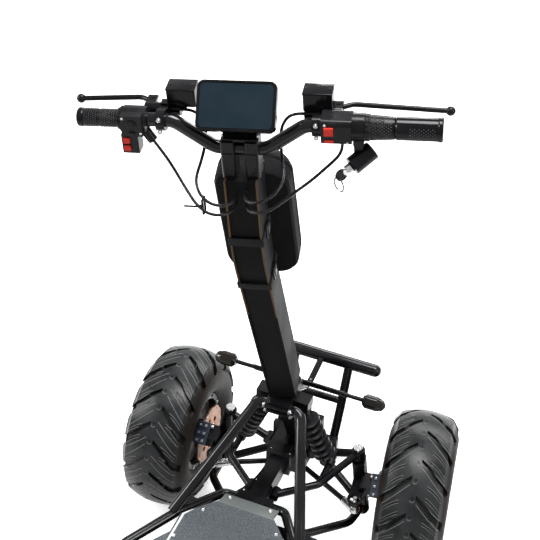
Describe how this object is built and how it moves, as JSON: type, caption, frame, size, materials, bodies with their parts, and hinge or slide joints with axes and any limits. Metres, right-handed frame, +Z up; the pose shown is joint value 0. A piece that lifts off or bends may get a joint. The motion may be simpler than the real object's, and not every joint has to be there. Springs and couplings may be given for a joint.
{
  "type": "four-wheel electric scooter",
  "caption": "Stand-on electric scooter with a flat deck, knobbly off-road tyres, wishbone front suspension and a tall raked steering column with a wide handlebar.",
  "frame": {"origin": "on the ground under the middle of the vehicle's box", "axes": "+X to the rider's right, +Y forward, +Z up"},
  "size_m": [0.7462, 1.2785, 1.2894],
  "materials": {
    "black_metal": "gloss",
    "satin_black": "satin",
    "tyre_rubber": "matt",
    "rim_black": "satin",
    "copper_disc": "satin",
    "caliper_blue": "satin",
    "steel": "satin",
    "spring": "gloss",
    "grip_rubber": "matt",
    "black_plastic": "satin",
    "gloss_black": "gloss",
    "screen": "gloss",
    "red": "gloss",
    "bag_shell": "satin",
    "strap": "matt",
    "amber": "gloss",
    "tail_red": "gloss",
    "battery": "matt",
    "cable": "gloss",
    "deck": "satin"
  },
  "bodies": {
    "frame": {"bulkhead": "satin_black", "steering_collar": "satin_black", "spine_beam": "satin_black", "frame_rails": "black_metal", "upper_frame": "black_metal", "deck_plate": "deck", "battery_box": "satin_black", "battery_pack": "battery", "upper_arms": "satin_black", "lower_arms": "satin_black", "shock_bodies": "steel", "shock_springs": "spring", "rear_arms": "satin_black", "front_bumper": "black_metal", "indicator_bar": "satin_black", "signal_lamps": "amber", "tail_lamps": "tail_red", "cable_spine_frame": "cable"},
    "steering": {"column": "satin_black", "bar_clamps": "satin_black", "handlebar": "black_metal", "left_grip": "grip_rubber", "right_grip": "gloss_black", "twist_throttle": "grip_rubber", "left_switch": "black_plastic", "right_switch": "black_plastic", "red_buttons": "red", "brake_masters": "gloss_black", "brake_levers": "satin_black", "display_case": "gloss_black", "display_screen": "screen", "key_lock": "black_plastic", "key": "steel", "front_bag": "bag_shell", "bag_straps": "strap", "cable_left_switch": "cable", "cable_right_switch": "cable", "hose_left_brake": "cable", "hose_right_brake": "cable"},
    "corner_left": {"knuckle_left": "steel", "caliper_left": "caliper_blue"},
    "wheel_front_left": {"tyre_front_left": "tyre_rubber", "rim_front_left": "rim_black", "disc_left": "copper_disc"},
    "wheel_rear_left": {"tyre_rear_left": "tyre_rubber", "motor_rim_left": "rim_black"},
    "tie_left": {"tie_rod_left": "steel"},
    "corner_right": {"knuckle_right": "steel", "caliper_right": "caliper_blue"},
    "wheel_front_right": {"tyre_front_right": "tyre_rubber", "rim_front_right": "rim_black", "disc_right": "copper_disc"},
    "wheel_rear_right": {"tyre_rear_right": "tyre_rubber", "motor_rim_right": "rim_black"},
    "tie_right": {"tie_rod_right": "steel"}
  },
  "joints": [
    {"name": "steering_turn", "type": "hinge", "parent": "frame", "child": "steering", "pos_m": [0, 0.44274, 0.278], "axis": [0, -0.342, 0.9397], "range_deg": [-59, 31]},
    {"name": "knuckle_left_turn", "type": "hinge", "parent": "frame", "child": "corner_left", "pos_m": [-0.167, 0.42874, 0.125], "axis": [0.1194, 0, 0.9928], "range_deg": [-24, 12.8]},
    {"name": "tie_left_turn", "type": "hinge", "parent": "steering", "child": "tie_left", "pos_m": [0.00677, 0.44559, 0.19071], "axis": [0, -0.342, 0.9397], "range_deg": [-31.5, 59.5]},
    {"name": "wheel_front_left_spin", "type": "hinge", "parent": "corner_left", "child": "wheel_front_left", "pos_m": [-0.27629, 0.43753, 0.18004], "axis": [0.9996, 0.0277, 0], "continuous": true},
    {"name": "wheel_rear_left_spin", "type": "hinge", "parent": "frame", "child": "wheel_rear_left", "pos_m": [-0.3, -0.45926, 0.18], "axis": [1, 0, 0], "continuous": true},
    {"name": "knuckle_right_turn", "type": "hinge", "parent": "frame", "child": "corner_right", "pos_m": [0.167, 0.42874, 0.125], "axis": [-0.1194, 0, 0.9928], "range_deg": [-24, 12.8]},
    {"name": "tie_right_turn", "type": "hinge", "parent": "steering", "child": "tie_right", "pos_m": [0.00677, 0.44559, 0.19071], "axis": [0, -0.342, 0.9397], "range_deg": [-31.5, 59.5]},
    {"name": "wheel_front_right_spin", "type": "hinge", "parent": "corner_right", "child": "wheel_front_right", "pos_m": [0.27242, 0.45971, 0.17957], "axis": [0.9862, 0.1656, -0.0017], "continuous": true},
    {"name": "wheel_rear_right_spin", "type": "hinge", "parent": "frame", "child": "wheel_rear_right", "pos_m": [0.3, -0.45926, 0.18], "axis": [1, 0, 0], "continuous": true}
  ],
  "couplings": [
    {"joint": "knuckle_left_turn", "follows": "steering_turn", "ratio": 0.4},
    {"joint": "tie_left_turn", "follows": "steering_turn", "ratio": -1},
    {"joint": "knuckle_right_turn", "follows": "steering_turn", "ratio": 0.4},
    {"joint": "tie_right_turn", "follows": "steering_turn", "ratio": -1}
  ]
}
